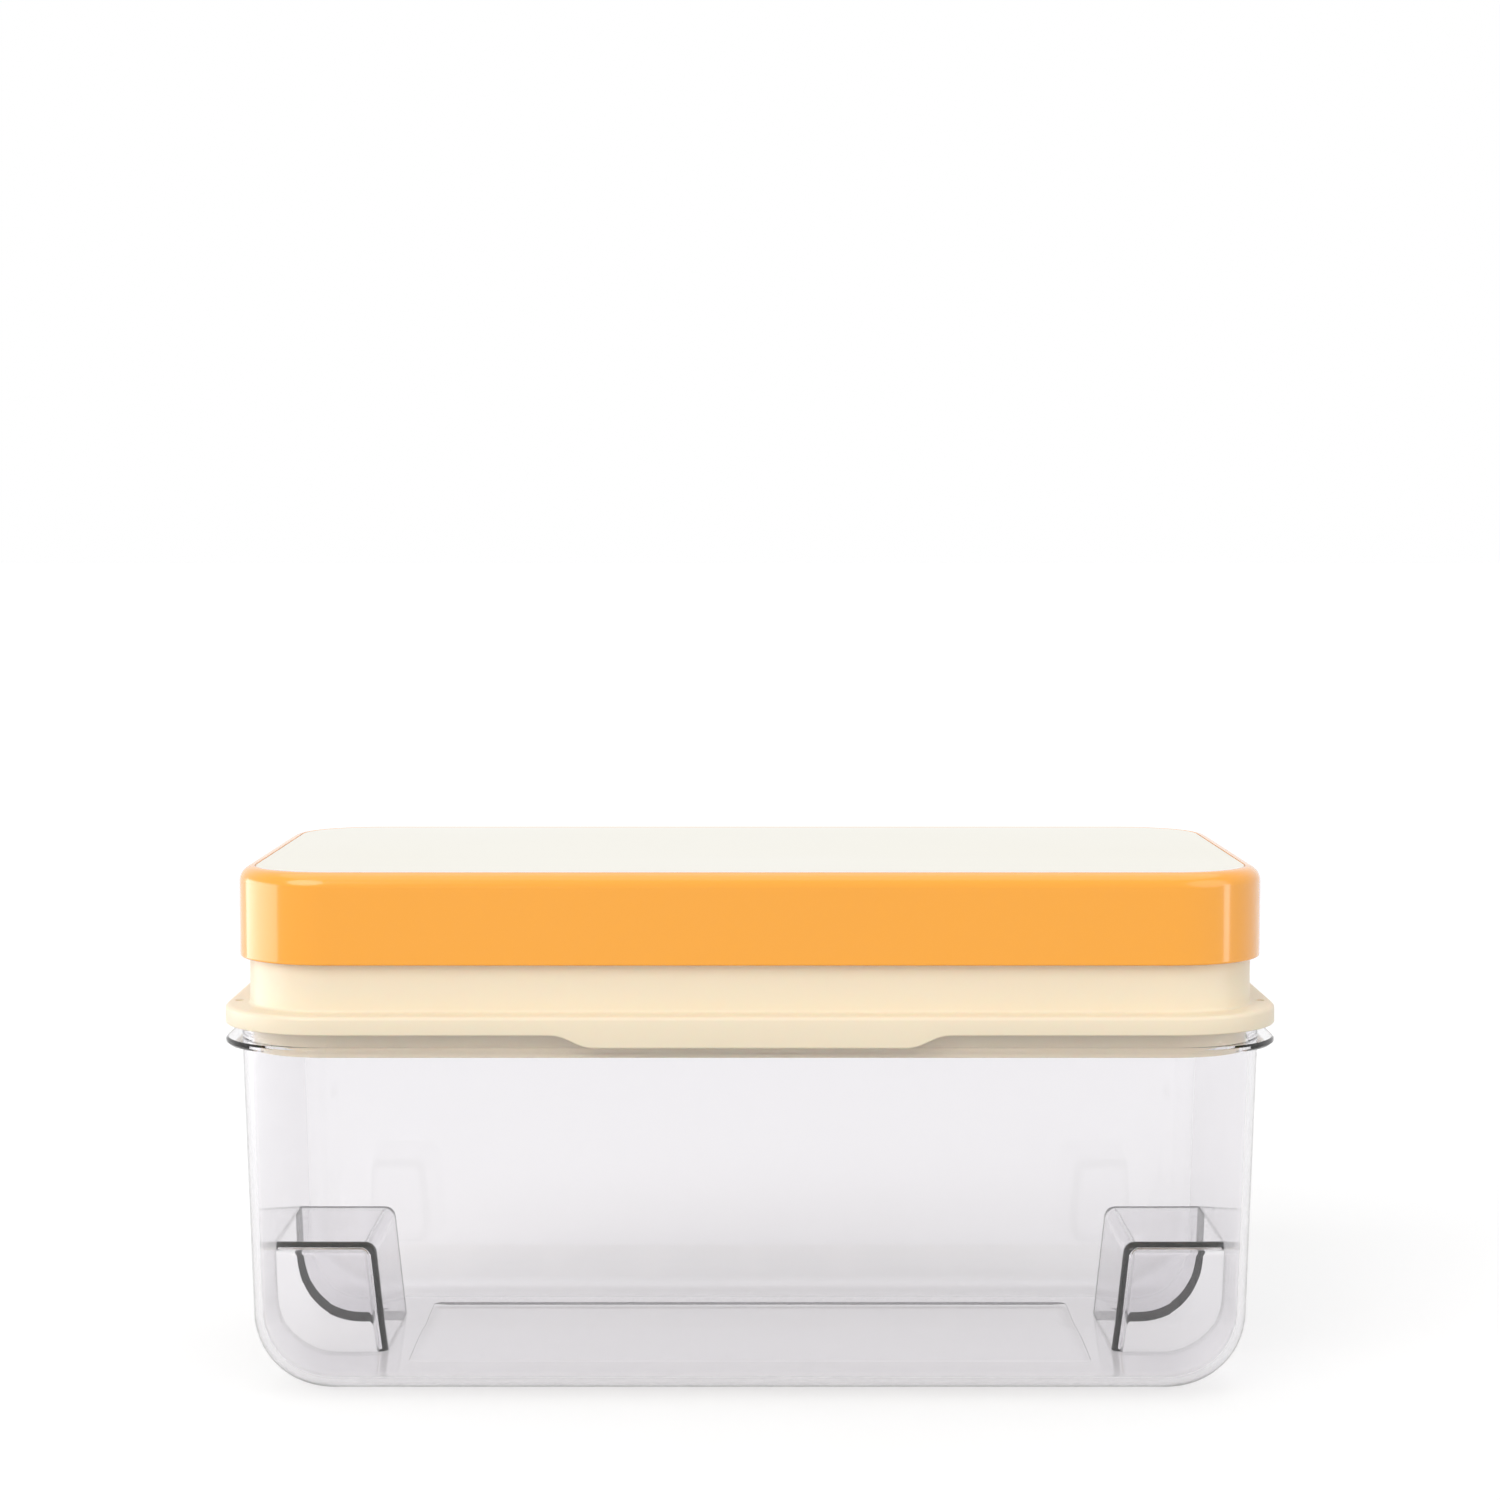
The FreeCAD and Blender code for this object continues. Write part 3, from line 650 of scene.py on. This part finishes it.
def make_world():
    """White where it is seen, and an even grey where it lights the object."""
    world = bpy.data.worlds.new("studio")
    bpy.context.scene.world = world
    world.use_nodes = True
    tree = world.node_tree
    background = tree.nodes["Background"]
    mix = tree.nodes.new("ShaderNodeMix")
    mix.data_type = "RGBA"
    mix.inputs["A"].default_value = (0.38, 0.38, 0.385, 1)
    mix.inputs["B"].default_value = (1, 1, 1, 1)
    tree.links.new(seen_ray(tree), mix.inputs["Factor"])
    tree.links.new(mix.outputs["Result"], background.inputs["Color"])


def make_lamp(name, source, share, softness, colour=(1, 1, 1)):
    """A far, soft lamp. share is how brightly it alone lights a white surface that faces it."""
    data = bpy.data.lights.new(name, "SUN")
    data.energy, data.color, data.angle = share * math.pi, colour, math.radians(softness)
    lamp = bpy.data.objects.new(name, data)
    bpy.context.scene.collection.objects.link(lamp)
    lamp.rotation_euler = (-Vector(source)).to_track_quat("-Z", "Y").to_euler()
    return lamp


def make_panel_lamp(name, place, width, height, watts):
    """A lit panel beside the object, for the soft bands along its corners."""
    tray = Vector((0, 0, 0.08))
    data = bpy.data.lights.new(name, "AREA")
    data.shape, data.size, data.size_y, data.energy = "RECTANGLE", width, height, watts
    lamp = bpy.data.objects.new(name, data)
    bpy.context.scene.collection.objects.link(lamp)
    lamp.location = place
    lamp.visible_camera = lamp.visible_transmission = False
    lamp.rotation_euler = (tray - Vector(place)).to_track_quat("-Z", "Y").to_euler()


def make_camera():
    """In front of the tray and a little above it, fitted to the photo's view of the bin."""
    distance, height, pitch = 0.82, 0.2069, 3.72
    focal_pixels, frame_pixels, sensor = 3206, 1500, 36.0
    data = bpy.data.cameras.new("camera")
    data.sensor_width = sensor
    data.lens = focal_pixels / frame_pixels * sensor
    data.clip_start, data.clip_end = 0.1, 60
    camera = bpy.data.objects.new("camera", data)
    bpy.context.scene.collection.objects.link(camera)
    camera.location = (0, -distance, height)
    camera.rotation_euler = (math.radians(90 - pitch), 0, 0)
    bpy.context.scene.camera = camera


make_bin()
make_frame()
make_grid()
make_cups()
make_plate()
make_lid()

make_floor()
make_world()
make_lamp("key", (-1.1, -1.5, 1.4), share=0.38, softness=40, colour=(1, 0.985, 0.96))
make_lamp("fill", (1.6, -1.3, 0.9), share=0.19, softness=50)
make_lamp("top", (0, 0.2, 2.0), share=0.25, softness=70)
# Low enough to reach into the raised tray under the plate. Glossy and clear pieces don't show it.
front = make_lamp("front", (-0.15, -1, 0.09), share=0.15, softness=14)
front.visible_glossy = front.visible_transmission = False
make_panel_lamp("left_panel", (-0.6, 0.03, 0.12), width=0.6, height=0.2, watts=1.0)
make_panel_lamp("right_strip", (0.6, -0.2, 0.12), width=0.08, height=0.2, watts=0.16)
make_camera()
bpy.context.scene.view_settings.view_transform = "Standard"
